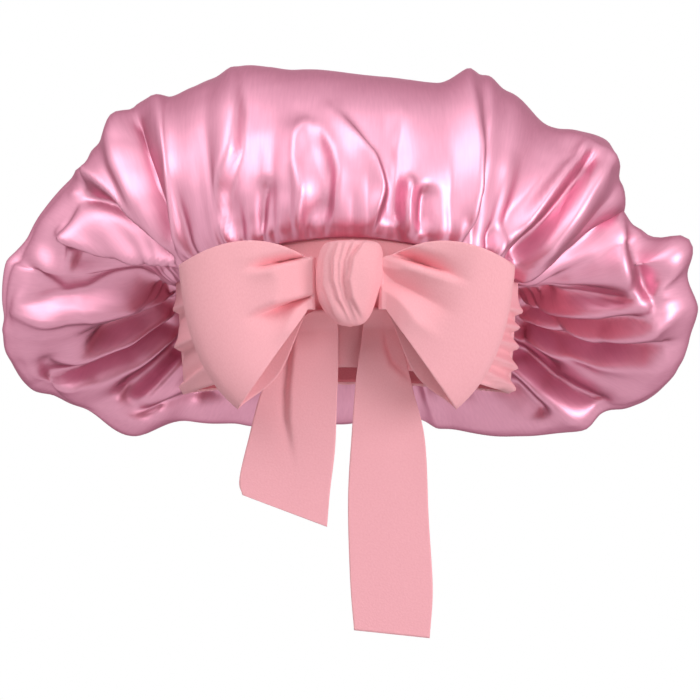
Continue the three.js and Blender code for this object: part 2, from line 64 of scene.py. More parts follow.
# Shares of the way from the seam to the point at the back: where the gathers end, where the face ends,
# where the lobes have died out, and where the last row of the mesh lies.
GATHER_SHARE, FACE_SHARE, LOBE_SHARE, LAST_SHARE = 0.06, 0.56, 0.92, 0.985
FAN_TWICE, FAN_ONCE = np.radians(12), np.radians(10)
UPPER_POWER, LOWER_POWER, BAG_POWER = 2.2, 3.5, 2.2
FACE_BULGE, SWELL_POWER = 9, 0.8
SATIN_THICKNESS = 0.5
AROUND, FACE_ROWS, BACK_ROWS = 512, 68, 26


def round_head(phi, front, side, back):
    """A size that changes round the head: from the side to the front or back with the square of cos phi."""
    c = np.cos(phi)
    return side + np.where(c > 0, front - side, back - side) * c * c


def on_ring(phi, out, z):
    """The head's oval, moved out by a distance: ((a + out) sin phi, -(b + out) cos phi, z)."""
    parts = ((RING_WIDTH + out) * np.sin(phi), -(RING_DEPTH + out) * np.cos(phi), z)
    return np.stack(np.broadcast_arrays(*parts), -1)


def fanned(phi):
    """Where a fold that starts at phi on the band meets the outline: phi less a share of sin 2 phi and one
    of sin phi, so that folds over the forehead run straight up."""
    return phi - FAN_TWICE * np.sin(2 * phi) - FAN_ONCE * np.sin(phi)


def widest(phi):
    """The crown's outline from the front: a superellipse in polar form, squarer below than above."""
    a = fanned(phi)
    s, c = np.sin(a), np.cos(a)
    n = np.where(c > 0, UPPER_POWER, LOWER_POWER)
    size = (np.abs(s) ** n + np.abs(c) ** n) ** (1 / n)
    height = np.where(c > 0, CROWN_TOP - WIDEST_HEIGHT, WIDEST_HEIGHT - CROWN_BOTTOM)
    back = round_head(phi, *WIDEST_BACK)
    return np.stack([CROWN_HALF_WIDTH * s / size, back, WIDEST_HEIGHT + height * c / size], -1)


def plain_crown(phi, t):
    """The bag without folds, for t from 0 at the seam to 1 at the back: straight out of the seam, then a
    quarter of a superellipse to the outline, and another one to a point behind the head."""
    height = round_head(phi, *SEAM_HEIGHTS)
    seam = on_ring(phi, SEAM_LAP, height - SEAM_LAP)
    gather = on_ring(phi, round_head(phi, *GATHER_OUT), height + round_head(phi, *GATHER_RISE))
    edge = widest(phi)
    first = np.clip(t / GATHER_SHARE, 0, 1)[..., None]
    u = np.clip((t - GATHER_SHARE) / (FACE_SHARE - GATHER_SHARE), 0, 1) * np.pi / 2
    v = np.clip((t - FACE_SHARE) / (1 - FACE_SHARE), 0, 1) * np.pi / 2
    power = 2 / BAG_POWER
    near, far = np.sin(u) ** power, 1 - np.cos(u) ** power
    face = np.stack([near, far, near], -1)
    near, far = np.sin(v) ** power, 1 - np.cos(v) ** power
    back = np.stack([far, near, far], -1)
    bag = gather + (edge - gather) * face + (BACK_POINT - edge) * back
    return np.where(t[..., None] < GATHER_SHARE, seam + (gather - seam) * first, bag)


def outward(points):
    """Unit normals of a grid whose rows go round: the step round crossed with the step along."""
    round_step = np.roll(points, -1, 1) - np.roll(points, 1, 1)
    along_step = np.gradient(points, axis=0)
    n = np.cross(round_step, along_step)
    return n / np.maximum(np.linalg.norm(n, axis=-1, keepdims=True), 1e-9)


# Lobes of the outline, as (turn in degrees from the top, rise).
LOBES = np.array([
    (-180, -1), (-170, -3), (-162, 3), (-153, 4), (-145, 13), (-136, 3), (-125, 9), (-112, 9), (-102, 7),
    (-94, 4), (-80, 4), (-72, -5), (-60, -6), (-46, -7), (-36, 5), (-30, -3), (-22, 3), (-17, 8), (-8, 2),
    (6, -2), (15, -3), (23, 9), (27, 4), (36, -6), (47, 2), (55, -14), (63, -30), (70, -16), (76, 2),
    (82, -1), (92, 7), (106, 4), (116, 2), (123, 2), (131, 4), (141, 8), (152, 8), (164, 4), (168, -2),
    (180, -1)], float)
# Creases of the front, each drawn from the band outwards on the picture's own pixels, as (depth, width of
# its left side, width of its right side, points). A fold that laps over its neighbour is steep on one side.
CREASE_LINES = (
    (4, 4, 24, (236, 237), (228, 213), (228, 191), (236, 166), (241, 150), (245, 114), (243, 86), (236, 40)),
    (9, 9, 9, (178, 262), (155, 200), (140, 150), (135, 118), (131, 98)),
    (10, 10, 5, (170, 260), (148, 236), (117, 210), (95, 196), (76, 190), (62, 186)),
    (10, 10, 5, (170, 277), (140, 272), (100, 266), (74, 258), (60, 254)),
    (8, 6, 12, (167, 282), (121, 292), (90, 301), (44, 307), (5, 304)),
    (8, 10, 4, (72, 303), (36, 281), (14, 252), (0, 236)),
    (6, 10, 4, (67, 300), (60, 262), (58, 235), (70, 200), (84, 172), (94, 150)),
    (6, 8, 8, (170, 305), (145, 322), (75, 353)),
    (8, 5, 10, (170, 329), (136, 354), (97, 374), (48, 388), (25, 394)),
    (6, 7, 7, (179, 346), (150, 372), (112, 402)),
    (5, 5, 5, (218, 394), (182, 406), (121, 418)),
    (4, 10, 10, (314, 231), (326, 212), (322, 175), (314, 147), (309, 117)),
    (5, 5, 12, (373, 240), (380, 220), (391, 190), (389, 176), (380, 152), (358, 128), (330, 100)),
    (6, 9, 4, (397, 231), (397, 201), (402, 158), (403, 98)),
    (7, 4, 4, (259, 233), (261, 199), (267, 172)),
    (6, 4, 4, (301, 233), (319, 205), (336, 203)),
    (7, 4, 4, (423, 231), (425, 199), (428, 182)),
    (6, 5, 16, (466, 240), (478, 220), (486, 190), (489, 147), (485, 116), (480, 76), (474, 30)),
    (4, 8, 6, (484, 246), (506, 225), (541, 183), (572, 147), (584, 133)),
    (11, 9, 5, (520, 268), (549, 230), (572, 196), (594, 160), (604, 145)),
    (4, 10, 10, (522, 152), (559, 159), (583, 149)),
    (6, 6, 14, (649, 300), (641, 278), (634, 249), (629, 218)),
    (7, 5, 5, (518, 290), (560, 296), (610, 300), (645, 296)),
    (8, 5, 5, (522, 307), (560, 316), (600, 323), (640, 318), (670, 306)),
    (8, 6, 6, (521, 322), (550, 336), (590, 348), (640, 350), (690, 336)),
    (7, 5, 5, (519, 334), (532, 350), (546, 366), (560, 380)),
    (9, 7, 7, (517, 352), (550, 380), (590, 405), (630, 425)),
    (6, 6, 6, (512, 382), (530, 402), (550, 425)),
)
# Ridges of the front in the same form, with their height.
RIDGE_LINES = (
    (3, 18, 3, (230, 237), (221, 213), (221, 191), (229, 165), (234, 150), (238, 114), (236, 86), (229, 40)),
    (5, 10, 6, (176, 258), (146, 205), (126, 165), (119, 140), (122, 112), (120, 95)),
    (6, 5, 16, (184, 256), (175, 215), (168, 165), (158, 130), (150, 108), (146, 95)),
    (6, 4, 10, (173, 249), (150, 223), (120, 197), (100, 183), (84, 176), (66, 168)),
    (5, 4, 10, (172, 268), (140, 261), (100, 252), (75, 243), (58, 236), (46, 231)),
    (5, 18, 4, (167, 288), (121, 299), (90, 307), (44, 313), (5, 311)),
    (4, 14, 4, (170, 336), (136, 362), (97, 382), (70, 390), (48, 396)),
    (1.5, 10, 4, (300, 232), (303, 190), (295, 160), (297, 135), (311, 116)),
    (2, 3, 8, (331, 233), (335, 194), (337, 173), (332, 150), (316, 122)),
    (3, 10, 3, (369, 240), (375, 220), (386, 190), (384, 178), (375, 154), (353, 130), (322, 98)),
    (4, 3, 6, (404, 231), (405, 200), (410, 170)),
    (4, 14, 4, (462, 240), (473, 220), (481, 190), (484, 147), (480, 116), (473, 70), (466, 30)),
    (3.5, 5, 9, (492, 254), (514, 232), (549, 190), (581, 150), (592, 135)),
    (6, 4, 10, (520, 277), (545, 240), (570, 207), (600, 159), (610, 145)),
    (4, 14, 4, (638, 297), (628, 278), (621, 249), (616, 215), (611, 190), (604, 156)),
    (4, 9, 9, (645, 305), (663, 278), (680, 248), (690, 230)),
    (4, 8, 8, (168, 316), (125, 342), (85, 358), (50, 368)),
    (4, 8, 8, (180, 360), (155, 388), (135, 410)),
    (5, 5, 8, (520, 300), (560, 303), (600, 306), (650, 300), (690, 285)),
    (6, 6, 8, (524, 315), (560, 326), (600, 333), (650, 325), (700, 298)),
    (5, 8, 10, (525, 338), (555, 352), (600, 362), (650, 364), (700, 352)),
    (5, 6, 10, (515, 366), (540, 390), (575, 418), (610, 440)),
)
# The picture's middle in pixels, and how many mm a pixel is at the origin.
PICTURE_MIDDLE, PICTURE_SCALE = 350, 0.523


def eased(x, xs, ys):
    """Values between listed points, on the smooth step 3 s^2 - 2 s^3."""
    k = np.clip(np.searchsorted(xs, x, "right") - 1, 0, len(xs) - 2)
    s = np.clip((x - xs[k]) / (xs[k + 1] - xs[k]), 0, 1)
    return ys[k] + (ys[k + 1] - ys[k]) * s * s * (3 - 2 * s)


phi = (np.arange(AROUND) + 0.5) / AROUND * 2 * np.pi - np.pi
t = np.concatenate([np.linspace(0, FACE_SHARE, FACE_ROWS),
                    np.linspace(FACE_SHARE, LAST_SHARE, BACK_ROWS + 1)[1:]])
P, T = np.meshgrid(phi, t)
base = plain_crown(P, T)
normal = outward(base)
face = np.clip((T - GATHER_SHARE) / (FACE_SHARE - GATHER_SHARE), 0, 2)
swell = np.sin(np.pi * np.clip((T - GATHER_SHARE) / (LOBE_SHARE - GATHER_SHARE), 0, 1)) ** SWELL_POWER
turn = (np.degrees(fanned(P)) + 180) % 360 - 180
lobes = eased(turn, LOBES[:, 0], LOBES[:, 1]) * swell
bulge = FACE_BULGE * np.sin(np.pi * np.clip(T / FACE_SHARE, 0, 1))
main = base + normal * (bulge + lobes)[..., None]
normal = outward(main)
row_steps = np.linalg.norm(np.diff(main, axis=0), axis=-1)
run_in = np.concatenate([np.zeros((1, AROUND)), np.cumsum(row_steps, 0)])


def picture_place(points):
    """Where points in mm fall on the picture, in pixels, by the camera's place and scale at the origin."""
    side, back, up = np.moveaxis(points, -1, 0)
    near = -CAMERA_PLACE[1] / MM / (back - CAMERA_PLACE[1] / MM) / PICTURE_SCALE
    return np.stack([(side - CAMERA_PLACE[0] / MM) * near + PICTURE_MIDDLE,
                     PICTURE_MIDDLE - (up - CAMERA_PLACE[2] / MM) * near], -1)


# A line on the picture fades out over this share of its length, and its two sides meet over this width.
LINE_FADE, SIDE_BLEND = 0.28, 1.2


def beside(seen, line, fading=LINE_FADE):
    """For places on the picture, three things about a line: the distance from it in mm, a tanh step from 0
    at its left to 1 at its right, and a smooth step down to 0 at its end."""
    line = np.array(line, float)
    best = np.full(seen.shape[:-1], 1e9)
    side = np.zeros_like(best)
    share = np.zeros_like(best)
    count = len(line) - 1
    for k in range(count):
        step = line[k + 1] - line[k]
        off = seen - line[k]
        s = np.clip(off @ step / (step @ step), 0, 1)
        gap = off - s[..., None] * step
        distance = np.sqrt(np.einsum("ijk,ijk->ij", gap, gap))
        nearer = distance < best
        best = np.where(nearer, distance, best)
        side = np.where(nearer, np.sign(step[0] * off[..., 1] - step[1] * off[..., 0]) * distance, side)
        share = np.where(nearer, (k + s) / count, share)
    to_right = 0.5 + 0.5 * np.tanh(side * PICTURE_SCALE / SIDE_BLEND)
    fade = np.clip((1 - share) / fading, 0, 1)
    return best * PICTURE_SCALE, to_right, fade * fade * (3 - 2 * fade)


# Between creases and ridges the cloth is drawn tight. Each line has its own height. A place takes the mean
# of the lines around it, weighted by (width / distance) ** TIGHTNESS, with a share of the plain bag.
FOLD_GAIN, TIGHTNESS, SHARPNESS, PLAIN_SHARE = 1.5, 1.7, 1.4, 0.3
seen = picture_place(main)
pull = np.full(T.shape, PLAIN_SHARE)
lift = np.zeros_like(T)
for gain, lines in ((-FOLD_GAIN, CREASE_LINES), (FOLD_GAIN, RIDGE_LINES)):
    for height, left, right, *line in lines:
        distance, to_right, fade = beside(seen, line)
        width = left + (right - left) * to_right
        near = (width / np.sqrt(distance ** 2 + SHARPNESS ** 2)) ** TIGHTNESS * fade
        pull += near
        lift += near * gain * height * fade
lift /= pull
# These folds are on the side that faces the picture, start clear of the seam and ease where the bag turns.
FACING_LIMIT, FACING_RANGE, SEAM_CLEAR = 0.3, 0.4, 16
TURN_EASE, TURN_RANGE = 0.35, 0.25
lift *= np.clip((FACING_LIMIT - normal[..., 1]) / FACING_RANGE, 0, 1) * np.clip(run_in / SEAM_CLEAR, 0, 1)
lift *= 1 - TURN_EASE * np.exp(-((face - 1) / TURN_RANGE) ** 2)

# Small pleats start at the seam all round, closest at the sides, and deeper creases run out over the lower
# back. Runs are (first turn, last turn, spacing) in degrees, and a reach is a share of the face.
PLEAT_RUNS = ((-178, -130, 4.5), (-130, -48, 3.2), (-48, 48, 5.0), (48, 130, 3.2), (130, 180, 4.5))
PLEAT_SCATTER, PLEAT_DEPTHS = 1.2, (1.5, 4)
PLEAT_FRONT, PLEAT_SIDE = 0.6, 0.9
PLEAT_REACH, PLEAT_REACH_MORE = 0.08, 0.5
BACK_RUNS = ((-172, -112, 8.0), (116, 176, 8.0))
BACK_SCATTER, BACK_DEPTHS, BACK_REACHES = 2, (4, 8), (0.6, 1.7)
PLEAT_WIDTH, PLEAT_SPREAD, PLEAT_ROUND, PLEAT_START = 1.0, 5, 0.25, 0.02
rng = np.random.default_rng(7)
pleat_turn = np.concatenate([np.arange(*run) for run in PLEAT_RUNS])
pleat_turn += rng.uniform(-PLEAT_SCATTER, PLEAT_SCATTER, len(pleat_turn))
pleat_depth = rng.uniform(*PLEAT_DEPTHS, len(pleat_turn))
pleat_depth *= PLEAT_FRONT + PLEAT_SIDE * np.sin(np.radians(pleat_turn)) ** 2
pleat_reach = PLEAT_REACH + PLEAT_REACH_MORE * rng.random(len(pleat_turn)) ** 2
back_turn = np.concatenate([np.arange(*run) for run in BACK_RUNS])
back_turn += rng.uniform(-BACK_SCATTER, BACK_SCATTER, len(back_turn))
back_depth = rng.uniform(*BACK_DEPTHS, len(back_turn))
back_reach = rng.uniform(*BACK_REACHES, len(back_turn))
pleats = np.stack([pleat_turn, pleat_depth, pleat_reach], -1)
back_creases = np.stack([back_turn, back_depth, back_reach], -1)
width = PLEAT_WIDTH + PLEAT_SPREAD * np.clip(face, 0, 1)
for crease_turn, depth, reach in np.concatenate([back_creases, pleats]):
    away = np.abs((np.degrees(P) - crease_turn + 180) % 360 - 180)
    open_share = np.clip(face / reach, 0, 1)
    sharp = np.sqrt(away ** 2 + (PLEAT_ROUND * width) ** 2) - PLEAT_ROUND * width
    lift -= depth * np.exp(-sharp / width) * (1 - open_share ** 2) * np.clip(T / PLEAT_START, 0, 1)

# Most of what the pleats take in is given back, so the bag keeps its size, and sharp steps are smoothed.
GIVEN_BACK, DEEPEST, HIGHEST = 0.7, -26, 14
SMOOTH_TIMES, SMOOTH_SHARE = 3, 0.15
lift = np.clip(lift - GIVEN_BACK * lift.mean(1, keepdims=True), DEEPEST, HIGHEST)
crown_points = main + normal * lift[..., None]
for again in range(SMOOTH_TIMES):
    along_mean = 0.5 * (crown_points[:-2] + crown_points[2:])
    crown_points[1:-1] += SMOOTH_SHARE * (along_mean - crown_points[1:-1])
    round_mean = 0.5 * (np.roll(crown_points, 1, 1) + np.roll(crown_points, -1, 1))
    crown_points += SMOOTH_SHARE * (round_mean - crown_points)


def cloth_mesh(name, points, closed_round=False, tip=None, thick=None, inward=True, closed_down=False,
               foot=None):
    """A smooth mesh over a grid of points in mm, with a UV map in metres of cloth from the mean lengths of
    its rows and columns. closed_round joins the last column to the first, and closed_down the last row to
    the first. tip and foot close the last and the first row to a point. thick is the cloth's thickness,
    which goes to the inner side of the points, or to both sides where inward is off."""
    rows, cols = points.shape[:2]
    down_count = rows if closed_down else rows - 1
    across_count = cols if closed_round else cols - 1
    i, j = np.meshgrid(np.arange(down_count), np.arange(across_count), indexing="ij")
    k, m = (j + 1) % cols, (i + 1) % rows
    quads = np.stack([i * cols + j, i * cols + k, m * cols + k, m * cols + j], -1).reshape(-1, 4)
    across = np.linalg.norm(np.roll(points, -1, 1) - points, axis=-1).mean(0)
    down = np.linalg.norm(np.roll(points, -1, 0) - points, axis=-1).mean(1)
    u = np.concatenate([[0], np.cumsum(across)])
    v = np.concatenate([[0], np.cumsum(down)])
    u_corners = np.stack([u[j], u[j + 1], u[j + 1], u[j]], -1)
    v_corners = np.stack([v[i], v[i], v[i + 1], v[i + 1]], -1)
    uv = np.stack([u_corners, v_corners], -1).reshape(-1, 2)
    corners = points.reshape(-1, 3)
    loops = quads.ravel()
    starts = np.arange(len(quads)) * 4
    here = np.arange(cols)
    ahead = (here + 1) % cols
    ends = ((rows - 1, tip, here, ahead, v[-1]), (0, foot, ahead, here, v[0]))
    for row, pole, first, second, level in ends:
        if pole is not None:
            fan = np.stack([row * cols + first, row * cols + second, np.full(cols, len(corners))], -1)
            corners = np.vstack([corners, pole])
            starts = np.concatenate([starts, len(loops) + np.arange(cols) * 3])
            loops = np.concatenate([loops, fan.ravel()])
            u_corners = np.stack([u[first], u[second], u[first]], -1)
            fan_uv = np.stack([u_corners, np.full((cols, 3), level)], -1)
            uv = np.concatenate([uv, fan_uv.reshape(-1, 2)])
    mesh = bpy.data.meshes.new(name)
    mesh.vertices.add(len(corners))
    mesh.vertices.foreach_set("co", (corners * MM).ravel())
    mesh.loops.add(len(loops))
    mesh.loops.foreach_set("vertex_index", loops.astype(np.int32))
    mesh.polygons.add(len(starts))
    mesh.polygons.foreach_set("loop_start", starts.astype(np.int32))
    mesh.uv_layers.new(name="cloth").data.foreach_set("uv", (uv * MM).ravel())
    mesh.update(calc_edges=True)
    mesh.shade_smooth()
    piece = bpy.data.objects.new(name, mesh)
    bpy.context.collection.objects.link(piece)
    if thick is not None:
        wall = piece.modifiers.new("thickness", "SOLIDIFY")
        wall.thickness = thick * MM
        wall.offset = -1 if inward else 0
    return piece


def linear(code):
    """An sRGB hex colour as linear numbers."""
    part = np.array([int(code[k:k + 2], 16) for k in (1, 3, 5)]) / 255
    part = np.where(part <= 0.04045, part / 12.92, ((part + 0.055) / 1.055) ** 2.4)
    return (*part, 1)


def add_node(tree, kind, links=None, **settings):
    """Adds a node with its settings, and links its inputs from other outputs or sets their values."""
    node = tree.nodes.new(kind)
    for key, value in settings.items():
        setattr(node, key, value)
    for key, value in (links or {}).items():
        if isinstance(value, bpy.types.NodeSocket):
            tree.links.new(value, node.inputs[key])
        else:
            node.inputs[key].default_value = value
    return node


def new_material(name, colour, roughness, **sockets):
    """A material with a Principled shader: its mean colour, roughness and other sockets, given by name."""
    material = bpy.data.materials.new(name)
    material.use_nodes = True
    shader = material.node_tree.nodes["Principled BSDF"]
    shader.inputs["Base Color"].default_value = linear(colour)
    shader.inputs["Roughness"].default_value = roughness
    for socket, value in sockets.items():
        shader.inputs[socket.replace("_", " ")].default_value = value
    return material, material.node_tree, shader


def weave(tree, shader, low, high, across, along, depth):
    """Threads of a cloth: a noise with so many grains a metre across and along it shades the face between
    two colours, and raises it by a depth in mm."""
    place = add_node(tree, "ShaderNodeUVMap", uv_map="cloth")
    stretch = add_node(tree, "ShaderNodeMapping", {"Vector": place.outputs[0], "Scale": (across, along, 1)})
    grain = add_node(tree, "ShaderNodeTexNoise", {"Vector": stretch.outputs[0], "Scale": 1.0, "Detail": 2.0})
    shade = add_node(tree, "ShaderNodeMix", {0: grain.outputs["Fac"], 6: linear(low), 7: linear(high)},
                     data_type="RGBA")
    bump = add_node(tree, "ShaderNodeBump", {"Height": grain.outputs["Fac"], "Strength": 0.3,
                                             "Distance": depth * MM})
    tree.links.new(shade.outputs[2], shader.inputs["Base Color"])
    tree.links.new(bump.outputs["Normal"], shader.inputs["Normal"])


crown = cloth_mesh("satin_crown", crown_points, True, BACK_POINT, SATIN_THICKNESS)
# Polyester satin: long floats of bright thread give broad soft highlights that tint and darken where the
# cloth turns away. Its threads, a tenth of a millimetre apart, are drawn ten times as coarse, so they show.
satin, tree, shader = new_material("polyester_satin", "#e09eb5", 0.46, Metallic=0.9,
                                   Specular_Tint=linear("#4a0c24"), Specular_IOR_Level=0.1)
weave(tree, shader, "#d997ae", "#e7a5bc", 900, 90, 0.03)
crown.data.materials.append(satin)
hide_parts("crown_outer")
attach(crown, "bonnet")


# The lining is a plainer bag of thin satin inside the crown, sewn into the same seam. It follows the
# crown's deepest folds at a small distance, so it lies in softer gathers and clear of the outer cloth.
LINING_INSET, LINING_SEAM_RUN, LINING_SEAM_SHARE, LINING_THICKNESS = 2.2, 10, 0.5, 0.4
LINING_HALF_WINDOW, LINING_EASE_TIMES = 9, 12
inset = np.sum((crown_points - main) * normal, -1)
for step in range(1, LINING_HALF_WINDOW):
    inset = np.minimum(inset, np.minimum(np.roll(inset, step, 1), np.roll(inset, -step, 1)))
for again in range(LINING_EASE_TIMES):
    inset = np.minimum(inset, (np.roll(inset, 1, 1) + inset + np.roll(inset, -1, 1)) / 3)
inset -= LINING_INSET * np.clip(run_in / LINING_SEAM_RUN, LINING_SEAM_SHARE, 1)
lining_points = (main + normal * inset[..., None])[:, ::2]
lining = cloth_mesh("satin_lining", lining_points[::-1][1:], True, None, LINING_THICKNESS,
                    foot=BACK_POINT - (0, LINING_INSET, 0))
# The lining's satin is thinner and a little duller, with the same floats, drawn as coarse as the crown's.
lining_satin, tree, shader = new_material("lining_satin", "#d795ae", 0.45, Metallic=0.4,
                                          Specular_Tint=linear("#a84e74"))
weave(tree, shader, "#d08ca6", "#de9eb6", 900, 90, 0.04)
lining.data.materials.append(lining_satin)
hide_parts("crown_lining")
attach(lining, "bonnet")


# The head band is coral pink crepe, cut wide over the forehead: an outer layer and a facing against the
# head, sewn together at the lower rim and into the crown's seam above. It ruffles at the sides.
RIM_HEIGHTS = (4.5, -9.5, -5.5)
BAND_TOP_HEIGHTS = (69.8, 47, 24)
SIDE_SEAM = np.radians(80)
CREPE_THICKNESS, LAYER_GAP, FACING_INSET = 0.9, 0.3, 1.2
SIDE_TAPER = 4
BAND_COLUMNS, BAND_ROWS, FACING_ROWS = 161, 41, 21
# The band stands off the head a little, more so at the sides, and its rim dips where it stands off.
BAND_EASE, BAND_SIDE_EASE, BAND_SIDE_POWER, BAND_OUT_MOST, BAND_DIP = 0.4, 2, 6, 9, 0.5
# Its ruffles as lines on the picture: (reach of the slope, rise on the left, rise on the right, points).
BAND_LINES = (
    (3, -3, 4, (203, 303), (187, 309), (174, 319)),
    (3, -3.5, 5, (206, 338), (190, 345), (174, 358)),
    (4, 4, -2, (212, 362), (200, 370), (180, 388)),
    (3.4, 5, -4.5, (485, 309), (505, 313), (526, 318)),
    (3.4, 5, -4.5, (482, 325), (506, 330), (526, 332)),
    (3.4, 5, -4.5, (480, 340), (502, 347), (526, 356)),
    (3.4, 5, -4.5, (474, 353), (493, 363), (524, 378)),
    (3.4, 5, -4.5, (466, 366), (486, 378), (516, 398)),
)


def rim(phi):
    """The height of the band's lower edge round the head."""
    return round_head(phi, *RIM_HEIGHTS)


def band_top(phi):
    """The height of the band's upper edge round the head, just under the crown's seam."""
    return round_head(phi, *BAND_TOP_HEIGHTS)


def band_strip(turns, low, high, out, count):
    """A strip round the head at given turns, from its low to its high edge, at a distance out from the
    oval, and drawn in towards the rim at the sides by the square of sin phi."""
    share = np.linspace(0, 1, count)[:, None]
    z = low + (high - low) * share
    down = (band_top(turns) - z) / (band_top(turns) - rim(turns))
    return on_ring(np.broadcast_to(turns, z.shape), out - SIDE_TAPER * down * np.sin(turns) ** 2, z)


# A fold's crest is rounded, sqrt(distance^2 + CREST_ROUND) - CREST_DROP, and it fades towards its end.
CREST_ROUND, CREST_DROP, FOLD_FADE = 1.5, 1.2, 0.2


def fold_lift(seen, reach, left, right, line, fading=FOLD_FADE):
    """Rise beside a line on the picture, exp(-distance / reach), with its own height on each side."""
    distance, to_right, fade = beside(seen, line, fading)
    soft = np.sqrt(distance ** 2 + CREST_ROUND) - CREST_DROP
    return (left + (right - left) * to_right) * np.exp(-soft / reach) * fade


turns = np.linspace(-SIDE_SEAM, SIDE_SEAM, BAND_COLUMNS)
flat_band = band_strip(turns, rim(turns), band_top(turns), 0, BAND_ROWS)
band_seen = picture_place(flat_band)
side_ease = BAND_SIDE_EASE * np.sin(turns) ** BAND_SIDE_POWER
band_lift = BAND_EASE + side_ease * np.ones(flat_band.shape[:2])
for reach, left, right, *line in BAND_LINES:
    band_lift += fold_lift(band_seen, reach, left, right, line)
band_out = np.clip(band_lift, 0, BAND_OUT_MOST)
band_points = band_strip(turns, rim(turns) - BAND_DIP * band_out[0], band_top(turns), band_out, BAND_ROWS)
facing_points = band_strip(turns, rim(turns) + FACING_INSET, band_top(turns) - FACING_INSET,
                           -CREPE_THICKNESS - LAYER_GAP, FACING_ROWS)
front_band = cloth_mesh("crepe_front_band", band_points, False, None, CREPE_THICKNESS)
front_facing = cloth_mesh("crepe_front_facing", facing_points, False, None, CREPE_THICKNESS)
# Crepe is woven from tightly twisted yarn that shrinks to a fine pebbled face, so it is matt, with no
# highlights. Its pebbles, about 0.3 mm across, are drawn nearly three times as coarse, so that they show.
crepe, tree, shader = new_material("polyester_crepe", "#fab2bb", 0.9, Specular_IOR_Level=0.15)
weave(tree, shader, "#f5a8b2", "#ffbcc4", 1200, 1000, 0.25)
# The crepe lining the band is coloured deeper than the outer crepe: painted shade, for the shade inside the
# band.
crepe_painted_shade, tree, shader = new_material("polyester_crepe_painted_shade", "#e0737f", 0.9,
                                          Specular_IOR_Level=0.15)
weave(tree, shader, "#d86a76", "#e87c88", 1200, 1000, 0.25)
# The front facing takes the deeper crepe, whose colour is painted shade.
for piece, node, cloth, under in ((front_band, "front_band_outer", crepe, "front_band_facing"),
                                  (front_facing, "front_band_facing", crepe_painted_shade, "crown_seam_binding")):
    piece.data.materials.append(cloth)
    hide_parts(node)
    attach(piece, "bonnet")


# Round the back the crepe band is a casing of two layers, sewn along both edges and ruched on a flat
# elastic inside it. The ruches are close and uneven, and lean a little from edge to edge.
CASING_COLUMNS, CASING_ROWS, CASING_FACING_ROWS = 601, 25, 17
RUCHES, RUCHE_HEIGHT, RUCHE_DIP, FACING_RUCHE_HEIGHT = 44, 0.8, 0.3, 0.25
# How the ruches drift along the casing, as (size, rate), how they lean, and how they fade at its ends.
RUCHE_DRIFTS, RUCHE_LEAN, RUCHE_LEAN_RATES, RUCHE_END_POWER = ((0.6, 9), (0.4, 31)), 0.9, (7, 3), 0.2
ELASTIC_OUT, ELASTIC_THICKNESS = -(CREPE_THICKNESS + LAYER_GAP), 1.2
BACK_FACING_OUT = ELASTIC_OUT - ELASTIC_THICKNESS - LAYER_GAP
casing_turns = np.linspace(SIDE_SEAM, 2 * np.pi - SIDE_SEAM, CASING_COLUMNS)
casing_share = np.linspace(0, 1, CASING_COLUMNS)
edge_share = np.linspace(0, 1, CASING_ROWS)[:, None]
ruche_turns = RUCHES * casing_share
for size, rate in RUCHE_DRIFTS:
    ruche_turns = ruche_turns + size * np.sin(rate * casing_share)
ruche_phase = 2 * np.pi * ruche_turns
ruche_sway = RUCHE_LEAN * np.sin(RUCHE_LEAN_RATES[0] * casing_share + RUCHE_LEAN_RATES[1] * edge_share)
ruche_fade = np.sin(np.pi * casing_share) ** RUCHE_END_POWER
ruche = RUCHE_HEIGHT * (1 - np.cos(ruche_phase + ruche_sway)) * ruche_fade
casing_points = band_strip(casing_turns, rim(casing_turns) - RUCHE_DIP * ruche[0], band_top(casing_turns),
                           ruche, CASING_ROWS)
facing_turns = casing_turns[::3]
facing_ruche = -FACING_RUCHE_HEIGHT * (1 - np.cos(ruche_phase[::3]))
facing_points = band_strip(facing_turns, rim(facing_turns) + FACING_INSET,
                           band_top(facing_turns) - FACING_INSET, BACK_FACING_OUT + facing_ruche,
                           CASING_FACING_ROWS)
casing = cloth_mesh("crepe_back_casing", casing_points, False, None, CREPE_THICKNESS)
casing_facing = cloth_mesh("crepe_back_facing", facing_points, False, None, CREPE_THICKNESS)
# The back facing takes the deeper crepe too, whose colour is painted shade.
for piece, node, cloth, length in ((casing, "back_casing_outer", crepe, 0.42),
                                   (casing_facing, "back_casing_facing", crepe_painted_shade, 0.36)):
    piece.data.materials.append(cloth)
    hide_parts(node)
    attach(piece, "bonnet")


# A flat woven elastic runs inside the casing and draws the back of the band in. Bar tacks, short rows of
# close stitches in the sewing thread, hold its two ends at the side seams.
ELASTIC_WIDTH, ELASTIC_WALL, RIB_DEPTH = 20, ELASTIC_THICKNESS - 0.2, 0.15
ELASTIC_COLUMNS, ELASTIC_ROWS, ELASTIC_RIBS = 181, 73, 9
TACK_COLUMNS, TACK_ROWS, TACK_STITCHES = 7, 157, 26
# A tack is 3 mm wide, with gaps of 0.6 mm beside it. Both are turned into angles round the head.
TACK_TURN, TACK_GAP = 3 / RING_DEPTH, 0.6 / RING_DEPTH


def in_casing(turns, ribs, count):
    """A ribbed strip along the middle of the casing: ribs run along it, half a sine wave each."""
    middle = (rim(turns) + band_top(turns)) / 2
    rib = RIB_DEPTH * (np.abs(np.sin(np.pi * ribs * np.linspace(0, 1, count)[:, None])) - 1)
    return band_strip(turns, middle - ELASTIC_WIDTH / 2, middle + ELASTIC_WIDTH / 2, ELASTIC_OUT + rib, count)


elastic_turns = np.linspace(SIDE_SEAM + TACK_TURN + 2 * TACK_GAP,
                            2 * np.pi - SIDE_SEAM - TACK_TURN - 2 * TACK_GAP, ELASTIC_COLUMNS)
elastic_points = in_casing(elastic_turns, ELASTIC_RIBS, ELASTIC_ROWS)
elastic = cloth_mesh("woven_elastic", elastic_points, False, None, ELASTIC_WALL)
